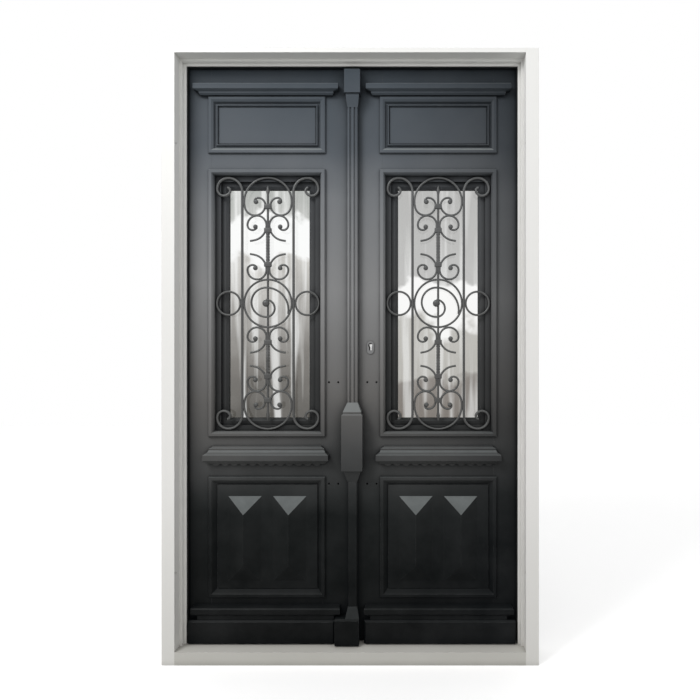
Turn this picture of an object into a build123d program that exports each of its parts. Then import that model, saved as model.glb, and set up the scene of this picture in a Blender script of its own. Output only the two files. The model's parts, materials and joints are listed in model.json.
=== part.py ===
from build123d import *
import os
from math import acos, ceil, cos, degrees, radians, sin

# Double-leaf security entry door: a white surround with a sill, a dark steel stop frame, and two panelled leaves
# with wrought-iron window grilles that swing inwards on lift-off hinges. The astragal over the meeting gap is on
# the left leaf. Millimetres: X to the right, -Y out of the building, +Z up. The origin is the middle of the
# sill's underside, level with the leaves' front faces. Heights here are above the sill's top; every piece is
# lifted by the sill's thickness when it is written.

# Bent bars, knuckles and scallops are drawn with flats, so that what repeats stays light
BEND_ERROR = 0.9
BEND_STEP = 30.0
KNUCKLE_SIDES = 16

# Leaf, across: from the middle of the doorway to the hinge edge
MEETING_GAP = 6.0
MEETING_BEVEL = 2.5
MEETING_STILE = 105.0
COLUMN_WIDTH = 468.0
HINGE_STILE = 88.0
LEAF_THICK = 45.0

# Leaf, upwards: rails and panels between the sill and the head
SILL_GAP = 5.0
BOTTOM_RAIL = 172.0
LOWER_PANEL = 483.0
LOCK_RAIL = 158.5
WINDOW = 1068.0
UPPER_RAIL = 63.5
TOP_PANEL = 227.0
TOP_RAIL = 120.0

# Surround, stop frame and sill
EDGE_GAP = 5.0
STOP_COVER = 12.0
STOP_SEAT_GAP = 5.0
STOP_THICK = 10.0
LINING_THICK = 12.0
BEAD_REVEAL = 4.5
STEP_WIDTH = 10.0
STEP_DEPTHS = (5.0, 15.0, 45.0)
CASING_FACE = 49.5
HEAD_FACE = 17.0
SILL_THICK = 50.0
FIXING_HOLE_R = 4.0
FIXING_HOLE_HEIGHTS = (301.5, 1965.0)
FIXING_HOLE_INSET = 14.0
FIXING_HOLE_DEPTH = 40.0

# Mouldings: how far a lip laps over the stiles, and the cut panels inside it
LIP_LAP = 12.0
PANEL_BOARD = (15.0, 35.0)
TOP_FIELD_INSET = 41.0
LOWER_FIELD_INSET = 34.0
FIELD_FRONT = 2.0
DIAMOND_WIDTH = 133.0
DIAMOND_HEIGHT = 339.0
DIAMOND_RISE = 25.0
DIAMOND_SPACING = 179.0
DIAMOND_HIP = 69.0
DIAMOND_DROP = 8.0

# Window: sash, glass and grille
WINDOW_LIP = 22.0
SASH_FRONT = 14.0
SASH_STRIP = 44.0
SASH_STEP = 11.0
BEAD_START = 60.0
BEAD_END = 72.0
GLASS_FRONT = 36.0
GLASS_THICK = 6.0
GLASS_REBATE = 8.0
GRILLE_DEPTH = 9.0
GRILLE_CLEAR = 4.0
BAR_WIDTH = 9.0
SCROLL_WIDTH = 7.0
WELD_LAP = 0.5
SIDE_RING_R = 47.0
CORNER_R = 56.0
CORNER_EYE_R = 27.0
CURL_R = (41.5, 29.0, 14.0)
CURL_TURN = 105.0
EYE_R = 6.5
BIG_EYE_R = 14.0
SPIRAL_R = (34.5, 59.0, 90.0)
SCROLL_R = 38.0
SCROLL_INNER_R = 20.0
SCROLL_OFFSET = 6.0
SCROLL_RISE = 90.0
FLARE_R = 60.0
FLARE_TIP = 14.0
KNOT_HEIGHT = 68.0
KNOT_SIZE = (24.0, 15.0)
SPEAR_LENGTH = 34.0
SPEAR_HALF = 8.0
SPEAR_SHOULDER = 0.6
SPEAR_GAP = 36.0

# Cornice, ledge and plinth
CORNICE_ABOVE_PANEL = 2.0
CORNICE_CLEAR = 22.0
CORNICE_STEP = 20.0
CORNICE_DEPTH = 28.0
LEDGE_ABOVE_PANEL = 44.0
LEDGE_HALF = 248.0
LEDGE_DEPTH = 30.0
SCALLOPS = 12
SCALLOP_PITCH = 36.5
SCALLOP_R = 18.0
SCALLOP_DROP = 8.0
SCALLOP_DEPTH = 12.0
PLINTH_HEIGHT = 90.0
PLINTH_DEPTH = 28.0
PLINTH_END_GAP = 6.0
PLINTH_CHAMFER = 8.0
RIGHT_PLINTH_START = 47.0
PLINTH_MOULDING_INNER = 48.0
PLINTH_MOULDING_OUTER = 638.0
PLINTH_MOULDING_STEP = 24.0

# Astragal, up from the foot
ASTRAGAL_CENTRE = 2.0
ASTRAGAL_CLEAR = 5.0
ASTRAGAL_TOP_MARGIN = 26.0
FOOT_HEIGHT = 103.0
FOOT_LEFT = 66.0
FOOT_RIGHT = 29.0
FOOT_DEPTH = 45.0
FOOT_TAPER = 42.0
LOWER_SHAFT_HALF = 18.0
LOWER_SHAFT = 492.0
BOX_TAPER = 48.0
BOX_HALF = 41.0
BOX_HEIGHT = 224.0
BOX_DEPTH = 50.0
BOX_NECK = 7.0
FLARE_HEIGHT = 36.0
SHAFT_HALF = 20.5
SHAFT_DEPTH = 25.0
FLUTE_R = 3.5
FLUTE_SPACING = 16.5
CAPITAL_TAPER = 40.0
CAPITAL_COLLAR = 12.0
CAPITAL_HEIGHT = 95.0
CAPITAL_HALF = 31.0
CAPITAL_DEPTH = 40.0

# Hinges: the axis is on the inner side, over the gap between the leaf and the lining
HINGE_HEIGHTS = (240.0, 1140.0, 2040.0)
HINGE_AXIS_SET = 3.0
HINGE_AXIS_BEHIND = 11.0
KNUCKLE_R = 8.0
KNUCKLE_HEIGHT = 45.0
KNUCKLE_GAP = 0.3
PIN_R = 4.0
PIN_LENGTH = 85.5
PIN_PLAY = 0.05
FLAG_LENGTH = 34.0
FLAG_THICK = 4.0

# Handle holes and the lock
HANDLE_HOLE_R = 4.0
HANDLE_HOLE_DEPTH = 30.0
HANDLE_HOLES_ACROSS = (58.0, 95.0)
HANDLE_HOLES_UP = (630.0, 1036.0)
LOCK_ACROSS = 71.0
LOCK_UP = 1175.0
ESCUTCHEON_SIZE = (28.0, 52.0)
ESCUTCHEON_THICK = 3.0
KEYHOLE_R = 8.5
KEYHOLE_SLOT = (10.0, 20.0)

# Worked-out places
MEETING_BACK = MEETING_GAP / 2
MEETING_FRONT = MEETING_BACK + MEETING_BEVEL
COLUMN_IN = MEETING_BACK + MEETING_STILE
COLUMN_OUT = COLUMN_IN + COLUMN_WIDTH
COLUMN_MID = (COLUMN_IN + COLUMN_OUT) / 2
CORNICE_HALF = COLUMN_MID - ASTRAGAL_CENTRE - CAPITAL_HALF - CORNICE_CLEAR
LEAF_EDGE = COLUMN_OUT + HINGE_STILE
LOWER_BOTTOM = SILL_GAP + BOTTOM_RAIL
LOWER_TOP = LOWER_BOTTOM + LOWER_PANEL
WINDOW_BOTTOM = LOWER_TOP + LOCK_RAIL
WINDOW_TOP = WINDOW_BOTTOM + WINDOW
WINDOW_MID = (WINDOW_BOTTOM + WINDOW_TOP) / 2
TOP_PANEL_BOTTOM = WINDOW_TOP + UPPER_RAIL
TOP_PANEL_TOP = TOP_PANEL_BOTTOM + TOP_PANEL
LEAF_TOP = TOP_PANEL_TOP + TOP_RAIL
LINING = LEAF_EDGE + EDGE_GAP
LINING_BACK = LINING + LINING_THICK
STOP_EDGE = LEAF_EDGE - STOP_COVER
STOP_BACK_Y = -STOP_SEAT_GAP
STOP_FRONT_Y = STOP_BACK_Y - STOP_THICK
FACE_Y = STOP_FRONT_Y - sum(STEP_DEPTHS)
REVEAL_EDGE = STOP_EDGE + BEAD_REVEAL + 2 * STEP_WIDTH
CASING_EDGE = REVEAL_EDGE + CASING_FACE
HEAD_RISE = LEAF_TOP - LEAF_EDGE
CASING_TOP = REVEAL_EDGE + HEAD_RISE + HEAD_FACE
HINGE_X = LEAF_EDGE + HINGE_AXIS_SET
HINGE_Y = LEAF_THICK + HINGE_AXIS_BEHIND


def outline(points):
    """A flat face from its corners."""
    return make_face(Polyline(*points, close=True))


def run_x(points, start, end):
    """A solid from an outline of (Y, Z) points, run along X."""
    return extrude(Plane.YZ.offset(start) * outline(points), amount=end - start, dir=(1, 0, 0))


def run_y(points, start, end):
    """A solid from an outline of (X, Z) points, run along Y."""
    return extrude(Plane.XZ.offset(-start) * outline(points), amount=end - start, dir=(0, 1, 0))


def run_z(points, start, end):
    """A solid from an outline of (X, Y) points, run along Z."""
    return extrude(Plane.XY.offset(start) * outline(points), amount=end - start, dir=(0, 0, 1))


def block(x0, x1, y0, y1, z0, z1):
    """A rectangular block between two corners."""
    return Pos((x0 + x1) / 2, (y0 + y1) / 2, (z0 + z1) / 2) * Box(x1 - x0, y1 - y0, z1 - z0)


def arc_points(centre, radius, begin, turn):
    """Points along an arc, in degrees, with flats that stay within BEND_ERROR of it."""
    flats = ceil(abs(turn) / min(BEND_STEP, 2 * degrees(acos(1 - BEND_ERROR / radius))))
    ways = [radians(begin + turn * index / flats) for index in range(flats + 1)]
    return [(centre[0] + radius * cos(way), centre[1] + radius * sin(way)) for way in ways]


def round_face(x, z, radius):
    """A round face drawn with flats, with corners at its top, bottom and sides."""
    quarters = [arc_points((x, z), radius, begin, 90)[:-1] for begin in (0, 90, 180, 270)]
    return outline([point for quarter in quarters for point in quarter])


def hole_y(x, z, radius, front, back):
    """A round tool along Y."""
    return Pos(x, (front + back) / 2, z) * Rot(90, 0, 0) * Cylinder(radius, back - front)


def mitred_ring(section, x0, x1, z0, z1):
    """A mitred frame inside a rectangle; the section's points are (distance in from its edge, Y)."""
    middle = (z0 + z1) / 2
    path = Plane.XZ * Polyline((x1, middle), (x1, z1), (x0, z1), (x0, z0), (x1, z0), (x1, middle))
    profile = outline([(-inward, depth) for inward, depth in section])
    start = Plane(origin=(x1, 0, middle), x_dir=(1, 0, 0), z_dir=(0, 0, 1))
    return sweep(start * profile, path=path, transition=Transition.RIGHT)


def column_ring(section, z0, z1):
    """A moulding round one panel of the left leaf."""
    return mitred_ring(section, -COLUMN_OUT, -COLUMN_IN, z0, z1)


def both_ways(points):
    """The points of a right half and the same points mirrored, as one outline."""
    return points + [(-x, z) for x, z in reversed(points)]


def moved(points, x, z):
    """An outline's points moved by x and z."""
    return [(px + x, pz + z) for px, pz in points]


def jamb_points():
    """Half of the surround in plan: the flat face, two steps, the bead and the back."""
    step_edge = REVEAL_EDGE - STEP_WIDTH
    bead_edge = step_edge - STEP_WIDTH
    y1 = STOP_FRONT_Y - STEP_DEPTHS[0]
    y2 = y1 - STEP_DEPTHS[1]
    return [(CASING_EDGE, FACE_Y), (REVEAL_EDGE, FACE_Y), (REVEAL_EDGE, y2), (step_edge, y2), (step_edge, y1),
            (bead_edge, y1), (bead_edge, STOP_FRONT_Y), (LINING_BACK, STOP_FRONT_Y), (LINING_BACK, LEAF_THICK),
            (CASING_EDGE, LEAF_THICK)]


def stop_points():
    """Half of the dark stop frame in plan: the stop in front of the leaf and the lining beside it."""
    return [(STOP_EDGE, STOP_FRONT_Y), (LINING_BACK, STOP_FRONT_Y), (LINING_BACK, LEAF_THICK),
            (LINING, LEAF_THICK), (LINING, STOP_BACK_Y), (STOP_EDGE, STOP_BACK_Y)]


def head_section(points):
    """A plan outline turned up into the head's (Y, Z) section."""
    return [(y, x + HEAD_RISE) for x, y in points]


def jamb(side):
    """One white jamb, from the sill's underside to the top, with its two fixing holes in the reveal."""
    solid = run_z([(side * x, y) for x, y in jamb_points()], -SILL_THICK, CASING_TOP)
    for height in FIXING_HOLE_HEIGHTS:
        middle = side * (REVEAL_EDGE + FIXING_HOLE_DEPTH / 2)
        tool = Rot(0, 90, 0) * Cylinder(FIXING_HOLE_R, FIXING_HOLE_DEPTH)
        solid -= Pos(middle, FACE_Y + FIXING_HOLE_INSET, height) * tool
    return solid


def surround():
    """The white jambs, head and sill, coped to each other."""
    jambs = {"jamb_left": jamb(-1), "jamb_right": jamb(1)}
    flat_top = [(CASING_EDGE - CASING_FACE + HEAD_FACE, y) if x == CASING_EDGE else (x, y) for x, y in jamb_points()]
    head = run_x(head_section(flat_top), -REVEAL_EDGE, REVEAL_EDGE)
    sill = block(-REVEAL_EDGE, REVEAL_EDGE, FACE_Y, LEAF_THICK, -SILL_THICK, 0)
    for piece in jambs.values():
        head -= piece
        sill -= piece
    return {**jambs, "head_casing": head, "sill": sill}


def stop_frame():
    """The dark stop and lining round the leaves."""
    sides = {"stop_left": -1, "stop_right": 1}
    top = LINING_BACK + HEAD_RISE
    pieces = {name: run_z([(side * x, y) for x, y in stop_points()], 0, top) for name, side in sides.items()}
    head = run_x(head_section(stop_points()), -LINING_BACK, LINING_BACK)
    for piece in list(pieces.values()):
        head -= piece
    pieces["stop_head"] = head
    return pieces


def many_sided(radius, height):
    """An upright round bar with flats, its corners on the circle."""
    return extrude(RegularPolygon(radius, KNUCKLE_SIDES), amount=height)


def flag(side, height):
    """One hinge flag on the left: a knuckle on the hinge axis and a plate flat on the inner face."""
    face = -HINGE_AXIS_BEHIND
    plate = [(side * 1.5, face), (side * FLAG_LENGTH, face), (side * FLAG_LENGTH, face + FLAG_THICK),
             (side * (KNUCKLE_R + 2), face + FLAG_THICK), (side * KNUCKLE_R * cos(radians(30)), -KNUCKLE_R / 2),
             (0, 0)]
    return run_z(plate, 0, height) + many_sided(KNUCKLE_R, height)


def hinges(on_leaf):
    """The left side's hinge halves: lower flags with pins on the frame, or upper flags on the leaf."""
    solids = []
    for height in HINGE_HEIGHTS:
        if on_leaf:
            bore = (PIN_R + PIN_PLAY) / cos(radians(180 / KNUCKLE_SIDES))
            piece = flag(1, KNUCKLE_HEIGHT) - many_sided(bore, KNUCKLE_HEIGHT)
            base = height + KNUCKLE_HEIGHT + KNUCKLE_GAP
        else:
            piece = flag(-1, KNUCKLE_HEIGHT) + many_sided(PIN_R, PIN_LENGTH)
            base = height
        solids += (Pos(-HINGE_X, HINGE_Y, base) * piece).solids()
    return Compound(solids)


def meeting_stile():
    """The left leaf's meeting stile with its bevelled edge and the handle's bolt holes."""
    inner = COLUMN_IN + LIP_LAP
    plan = [(-inner, 0), (-inner, LEAF_THICK), (-MEETING_BACK, LEAF_THICK), (-MEETING_FRONT, 0)]
    solid = run_z(plan, SILL_GAP, LEAF_TOP)
    for across in HANDLE_HOLES_ACROSS:
        for up in HANDLE_HOLES_UP:
            solid -= hole_y(-across, up, HANDLE_HOLE_R, 0, HANDLE_HOLE_DEPTH)
    return solid


def rails():
    """The four rails between the stiles."""
    bands = [(SILL_GAP, LOWER_BOTTOM + LIP_LAP), (LOWER_TOP - LIP_LAP, WINDOW_BOTTOM + LIP_LAP),
             (WINDOW_TOP - LIP_LAP, TOP_PANEL_BOTTOM + LIP_LAP), (TOP_PANEL_TOP - LIP_LAP, LEAF_TOP)]
    left, right = -COLUMN_OUT + LIP_LAP, -COLUMN_IN - LIP_LAP
    return Compound([block(left, right, 0, LEAF_THICK, low, high).solid() for low, high in bands])


def panel(low, high, inset):
    """A panel board behind a moulding, with a raised field inside it."""
    left, right = -COLUMN_OUT, -COLUMN_IN
    front, back = PANEL_BOARD
    board = block(left + LIP_LAP, right - LIP_LAP, front, back, low + LIP_LAP, high - LIP_LAP)
    return board + block(left + inset, right - inset, FIELD_FRONT, front, low + inset, high - inset)


def diamond_point(x, z):
    """One tall hipped point on the lower panel, its ridge upright."""
    half_width, half_height = DIAMOND_WIDTH / 2, DIAMOND_HEIGHT / 2
    across = [(x - half_width, FIELD_FRONT), (x, FIELD_FRONT - DIAMOND_RISE), (x + half_width, FIELD_FRONT)]
    upright = [(FIELD_FRONT, z - half_height), (FIELD_FRONT - DIAMOND_RISE, z - half_height + DIAMOND_HIP),
               (FIELD_FRONT - DIAMOND_RISE, z + half_height - DIAMOND_HIP), (FIELD_FRONT, z + half_height)]
    return run_z(across, z - half_height, z + half_height) & run_x(upright, x - half_width, x + half_width)


def lower_panel():
    """The lower panel with its two diamond points."""
    solid = panel(LOWER_BOTTOM, LOWER_TOP, LOWER_FIELD_INSET)
    middle = (LOWER_BOTTOM + LOWER_TOP) / 2
    for side in (-1, 1):
        solid += diamond_point(-COLUMN_MID + side * DIAMOND_SPACING / 2, middle - DIAMOND_DROP)
    return solid


def top_section():
    """The top panel's moulding: a bevelled lip, a hollow, a ridge and a second hollow."""
    back = PANEL_BOARD[0]
    return [(0, 0), (0, -5), (3, -8), (LIP_LAP, -8), (20, -4), (25, 3), (29, 3), (33, -4), (36, -4),
            (TOP_FIELD_INSET - 1, 6), (TOP_FIELD_INSET, 6), (TOP_FIELD_INSET, back), (LIP_LAP, back), (LIP_LAP, 0)]


def lower_section():
    """The lower panel's moulding: a broad lip and one hollow."""
    back = PANEL_BOARD[0]
    return [(0, 0), (0, -5), (4, -10), (14, -10), (19, -5), (27, 4), (LOWER_FIELD_INSET - 3, 7),
            (LOWER_FIELD_INSET, 7), (LOWER_FIELD_INSET, back), (LIP_LAP, back), (LIP_LAP, 0)]


def window_section():
    """The window's moulding: a broad lip and a steep reveal down to the sash."""
    return [(0, 0), (0, -6), (4, -11), (14, -11), (18, -7), (WINDOW_LIP, 2), (WINDOW_LIP, SASH_FRONT),
            (LIP_LAP, SASH_FRONT), (LIP_LAP, 0)]


def sash_section():
    """The sash: a front strip, a step, a sloping bead to the glass and the bead behind it."""
    glass_back = GLASS_FRONT + GLASS_THICK
    tuck = BEAD_END - GLASS_REBATE
    return [(LIP_LAP, SASH_FRONT), (SASH_STRIP, SASH_FRONT), (SASH_STRIP, SASH_FRONT + SASH_STEP),
            (BEAD_START, SASH_FRONT + SASH_STEP), (BEAD_END, GLASS_FRONT - 2), (BEAD_END, GLASS_FRONT),
            (tuck, GLASS_FRONT), (tuck, glass_back), (BEAD_END, glass_back), (BEAD_END, LEAF_THICK),
            (LIP_LAP, LEAF_THICK)]


def glass():
    """The pane in the sash's rebate."""
    tuck = BEAD_END - GLASS_REBATE
    return block(-COLUMN_OUT + tuck, -COLUMN_IN - tuck, GLASS_FRONT, GLASS_FRONT + GLASS_THICK,
                 WINDOW_BOTTOM + tuck, WINDOW_TOP - tuck)


def stroke(x, z, heading, steps, width, eye=0.0):
    """Faces of one bent bar: each step is (length,) for a straight run or (radius, turn in degrees) for an arc."""
    faces = []
    half = width / 2
    for step in steps:
        way = radians(heading)
        if len(step) == 1:
            middle = Pos(x + cos(way) * step[0] / 2, z + sin(way) * step[0] / 2)
            faces.append(middle * Rot(0, 0, heading) * Rectangle(step[0], width))
            x, z = x + cos(way) * step[0], z + sin(way) * step[0]
            continue
        radius, turn = step
        hand = 1 if turn > 0 else -1
        centre = x - hand * sin(way) * radius, z + hand * cos(way) * radius
        begin = heading - hand * 90
        outer = arc_points(centre, radius + half, begin, turn)
        inner = arc_points(centre, radius - half, begin, turn)
        faces.append(outline(outer + inner[::-1]))
        heading += turn
        end = radians(heading - hand * 90)
        x, z = centre[0] + radius * cos(end), centre[1] + radius * sin(end)
        if eye and step is steps[-1]:
            inset = eye - half
            faces.append(round_face(x - cos(end) * inset, z - sin(end) * inset, eye))
    return faces


def four_ways(faces):
    """A quarter's faces and their mirror images in both axes."""
    right = [mirror(face, about=Plane.YZ) for face in faces]
    lower = [mirror(face, about=Plane.XZ) for face in faces + right]
    return faces + right + lower


def grille_face():
    """The grille's outline about its own middle: bars, rings, arches, scrolls, spears and knots."""
    half_width = COLUMN_WIDTH / 2 - WINDOW_LIP - GRILLE_CLEAR
    half_height = WINDOW / 2 - WINDOW_LIP - GRILLE_CLEAR
    thin, thick = SCROLL_WIDTH / 2, BAR_WIDTH / 2
    ring_x = half_width - thin - SIDE_RING_R
    bar_x = ring_x - SIDE_RING_R - thin - thick + WELD_LAP
    ring_r = bar_x - thick + WELD_LAP - thin
    side_r = half_width - thick - bar_x - CORNER_R
    corner_z = half_height - thick - CORNER_R
    bars = stroke(-bar_x, 0, 90, [(corner_z,), (CORNER_R, 90), (side_r, 90), (CORNER_EYE_R, 150)], BAR_WIDTH)
    arch_z = half_height - thin - ring_r
    arch = stroke(0, arch_z + ring_r, 180, [(ring_r, CURL_TURN), (CURL_R[0], 165), (CURL_R[1], 90), (CURL_R[2], 110)],
                  SCROLL_WIDTH, EYE_R)
    curl_low = arch_z + (ring_r - CURL_R[0]) * cos(radians(CURL_TURN)) - CURL_R[0]
    unit_z = (ring_r + curl_low) / 2
    quarter = bars + arch
    for way in (-1, 1):
        start = unit_z + way * KNOT_HEIGHT
        reach = SCROLL_RISE - KNOT_HEIGHT
        quarter += stroke(-SCROLL_OFFSET, start, way * 90, [(reach,), (SCROLL_R, way * 180),
                                                            (SCROLL_INNER_R, way * 150)], SCROLL_WIDTH, EYE_R)
        flare = [(FLARE_R, -way * 90), (FLARE_TIP,)]
        quarter += stroke(-SCROLL_OFFSET, start + way * KNOT_SIZE[1], -way * 90, flare, SCROLL_WIDTH)
        quarter.append(Pos(0, start) * Rectangle(*KNOT_SIZE))
    spear = half_height - SPEAR_GAP
    shoulder = spear - SPEAR_LENGTH * SPEAR_SHOULDER
    quarter.append(outline([(0, spear), (SPEAR_HALF, shoulder), (thick, spear - SPEAR_LENGTH), (0, 0)]))
    quarter.append(Pos(0, arch_z - KNOT_SIZE[1]) * Rectangle(*KNOT_SIZE))
    faces = four_ways(quarter)
    for x, radius in ((0, ring_r), (-ring_x, SIDE_RING_R), (ring_x, SIDE_RING_R)):
        faces.append(round_face(x, 0, radius + thin) - round_face(x, 0, radius - thin))
    faces.append(Rectangle(BAR_WIDTH, 2 * (spear - SPEAR_LENGTH)))
    faces.append(round_face(-BIG_EYE_R / 2, 0, BIG_EYE_R))
    spiral = [(SPIRAL_R[0], -180), (SPIRAL_R[1], -180), (SPIRAL_R[2], -75)]
    faces += stroke(-BIG_EYE_R / 2, BIG_EYE_R, 0, spiral, SCROLL_WIDTH)
    whole = Sketch()
    for face in faces:
        whole += face
    return whole


def grille(face, x):
    """The grille at one window, seated on the sash's front strip."""
    place = Plane(origin=(x, SASH_FRONT, WINDOW_MID), x_dir=(1, 0, 0), z_dir=(0, -1, 0))
    return extrude(place * face, amount=GRILLE_DEPTH, dir=(0, -1, 0))


def returned(section, silhouette):
    """A moulding with returned ends: an (Y, Z) section met by an (X, Z) silhouette."""
    xs = [x for x, _ in silhouette]
    return run_x(section, min(xs), max(xs)) & run_y(silhouette, min(y for y, _ in section), 0)


def cornice():
    """The stepped cornice over the top panel."""
    base = TOP_PANEL_TOP + CORNICE_ABOVE_PANEL
    section = [(0, base), (-12, base), (-18, base + 6), (-18, base + 12), (-CORNICE_DEPTH, base + 19),
               (-CORNICE_DEPTH, base + 38), (-CORNICE_DEPTH + 4, base + 42), (0, base + 44)]
    lower = CORNICE_HALF - CORNICE_STEP
    half = [(lower - 4, base), (lower, base + 5), (lower, base + 12), (CORNICE_HALF, base + 19),
            (CORNICE_HALF, base + 38), (CORNICE_HALF - 4, base + 44)]
    return returned(section, moved(both_ways(half), -COLUMN_MID, 0))


def ledge():
    """The ledge on the lock rail with the row of scallops under it."""
    base = LOWER_TOP + LEDGE_ABOVE_PANEL + SCALLOP_DROP
    section = [(0, base), (-14, base), (-20, base + 6), (-LEDGE_DEPTH, base + 15), (-LEDGE_DEPTH, base + 36),
               (-LEDGE_DEPTH + 5, base + 41), (-18, base + 46), (-12, base + 54), (-12, base + 60), (-6, base + 66),
               (-6, base + 70), (0, base + 72)]
    half = [(LEDGE_HALF - 16, base), (LEDGE_HALF - 12, base + 6), (LEDGE_HALF, base + 15), (LEDGE_HALF, base + 36),
            (LEDGE_HALF - 14, base + 46), (LEDGE_HALF - 18, base + 54), (LEDGE_HALF - 18, base + 60),
            (LEDGE_HALF - 30, base + 66), (LEDGE_HALF - 30, base + 72)]
    solid = returned(section, moved(both_ways(half), -COLUMN_MID, 0))
    for index in range(SCALLOPS):
        x = -COLUMN_MID + (index - (SCALLOPS - 1) / 2) * SCALLOP_PITCH
        reach = degrees(acos(1 - SCALLOP_DROP / SCALLOP_R))
        arc = arc_points((x, base + SCALLOP_R - SCALLOP_DROP), SCALLOP_R, 270 - reach, 2 * reach)
        solid += run_y(arc, -SCALLOP_DEPTH, 0)
    return solid


def plinth(inner):
    """The kicking board at the leaf's foot, from `inner` to the hinge side, with a chamfered front edge."""
    top = SILL_GAP + PLINTH_HEIGHT
    outer = STOP_EDGE - PLINTH_END_GAP
    section = [(0, SILL_GAP), (-PLINTH_DEPTH, SILL_GAP), (-PLINTH_DEPTH, top - 6), (-PLINTH_DEPTH + 6, top),
               (0, top)]
    side = [(-outer, SILL_GAP), (-outer, top), (-inner, top), (-inner, SILL_GAP)]
    solid = returned(section, side)
    corner = [(-inner, -PLINTH_DEPTH), (-inner - PLINTH_CHAMFER, -PLINTH_DEPTH),
              (-inner, -PLINTH_DEPTH + PLINTH_CHAMFER)]
    return solid - run_z(corner, SILL_GAP, top)


def plinth_moulding():
    """The stepped moulding on top of the kicking board."""
    base = SILL_GAP + PLINTH_HEIGHT
    section = [(0, base), (-20, base), (-20, base + 17), (-PLINTH_DEPTH, base + 26), (-PLINTH_DEPTH, base + 44),
               (-PLINTH_DEPTH + 4, base + 48), (-8, base + 52), (0, base + 54)]
    inner, outer = -PLINTH_MOULDING_INNER, -PLINTH_MOULDING_OUTER
    step = PLINTH_MOULDING_STEP
    silhouette = [(outer + step, base), (outer + step, base + 17), (outer, base + 26), (outer, base + 44),
                  (outer + 5, base + 54), (inner - 5, base + 54), (inner, base + 44), (inner, base + 26),
                  (inner - step, base + 17), (inner - step, base)]
    return returned(section, silhouette)


def seated(solid):
    """An astragal piece cut to lie on the left leaf and to clear the right one."""
    big = 2 * LEAF_TOP
    return solid - block(-MEETING_FRONT, big, -ASTRAGAL_CLEAR, big, -big, big)


def astragal_levels():
    """Heights where the astragal's pieces meet, from the foot up."""
    foot = SILL_GAP + FOOT_HEIGHT
    shaft = foot + FOOT_TAPER
    taper = shaft + LOWER_SHAFT
    box = taper + BOX_TAPER
    neck = box + BOX_HEIGHT
    flare = neck + BOX_NECK
    fluted = flare + FLARE_HEIGHT
    top = LEAF_TOP - ASTRAGAL_TOP_MARGIN
    capital = top - CAPITAL_HEIGHT - CAPITAL_COLLAR - CAPITAL_TAPER
    return foot, shaft, taper, box, neck, flare, fluted, capital, top


def astragal_piece(section, half):
    """An astragal piece from its side section and the right half of its front."""
    return seated(returned(section, moved(both_ways(half), ASTRAGAL_CENTRE, 0)))


def astragal_foot():
    """The foot: a wide block and the taper above it."""
    foot, shaft = astragal_levels()[:2]
    depth = FOOT_DEPTH
    section = [(0, SILL_GAP), (-depth, SILL_GAP), (-depth, foot - 6), (-depth + 6, foot), (0, foot)]
    side = [(-FOOT_LEFT, SILL_GAP), (-FOOT_LEFT, foot), (FOOT_RIGHT, foot), (FOOT_RIGHT, SILL_GAP)]
    base = seated(returned(section, side))
    taper = [(0, foot), (-depth + 6, foot), (-SHAFT_DEPTH, shaft), (0, shaft)]
    reach = FOOT_RIGHT - ASTRAGAL_CENTRE
    return base + astragal_piece(taper, [(reach, foot), (LOWER_SHAFT_HALF, shaft)])


def shaft_solid(half, low, high, fluted):
    """A stretch of the shaft with eased front corners, with two flutes if asked."""
    ease = 4
    left, right = ASTRAGAL_CENTRE - half, ASTRAGAL_CENTRE + half
    plan = [(left, 0), (left, -SHAFT_DEPTH + ease), (left + ease, -SHAFT_DEPTH), (right - ease, -SHAFT_DEPTH),
            (right, -SHAFT_DEPTH + ease), (right, 0)]
    solid = run_z(plan, low, high)
    if fluted:
        for side in (-1, 1):
            tool = Pos(ASTRAGAL_CENTRE + side * FLUTE_SPACING / 2, -SHAFT_DEPTH, (low + high) / 2)
            solid -= tool * Cylinder(FLUTE_R, high - low)
    return seated(solid)


def astragal_shaft():
    """The plain shaft below the box and the fluted one above it."""
    _, shaft, taper, _, _, _, fluted, capital, _ = astragal_levels()
    lower = shaft_solid(LOWER_SHAFT_HALF, shaft, taper, False)
    upper = shaft_solid(SHAFT_HALF, fluted, capital, True)
    return Compound(lower.solids() + upper.solids())


def astragal_box():
    """The box at hand height: a taper, the box, a neck and a flare under the fluted shaft."""
    _, _, taper, box, neck, flare, fluted, _, _ = astragal_levels()
    section = [(0, taper), (-SHAFT_DEPTH, taper), (-BOX_DEPTH + 8, box), (-BOX_DEPTH, box), (-BOX_DEPTH, neck - 6),
               (-BOX_DEPTH + 6, neck), (-BOX_DEPTH + 8, neck), (-BOX_DEPTH + 8, flare), (-SHAFT_DEPTH, fluted),
               (0, fluted)]
    half = [(LOWER_SHAFT_HALF, taper), (BOX_HALF - 7, box), (BOX_HALF, box), (BOX_HALF, neck - 6),
            (BOX_HALF - 6, neck), (BOX_HALF - 5, flare), (SHAFT_HALF, fluted)]
    return astragal_piece(section, half)


def astragal_capital():
    """The capital: a taper out of the shaft, a collar and the block."""
    capital, top = astragal_levels()[7:]
    collar = capital + CAPITAL_TAPER
    head = collar + CAPITAL_COLLAR
    section = [(0, capital), (-SHAFT_DEPTH, capital), (-CAPITAL_DEPTH + 6, collar), (-CAPITAL_DEPTH + 6, head),
               (-CAPITAL_DEPTH, head), (-CAPITAL_DEPTH, top - 4), (-CAPITAL_DEPTH + 4, top), (0, top)]
    half = [(SHAFT_HALF, capital), (CAPITAL_HALF - 5, collar), (CAPITAL_HALF - 5, head), (CAPITAL_HALF, head),
            (CAPITAL_HALF, top - 4), (CAPITAL_HALF - 4, top)]
    return astragal_piece(section, half)


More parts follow.
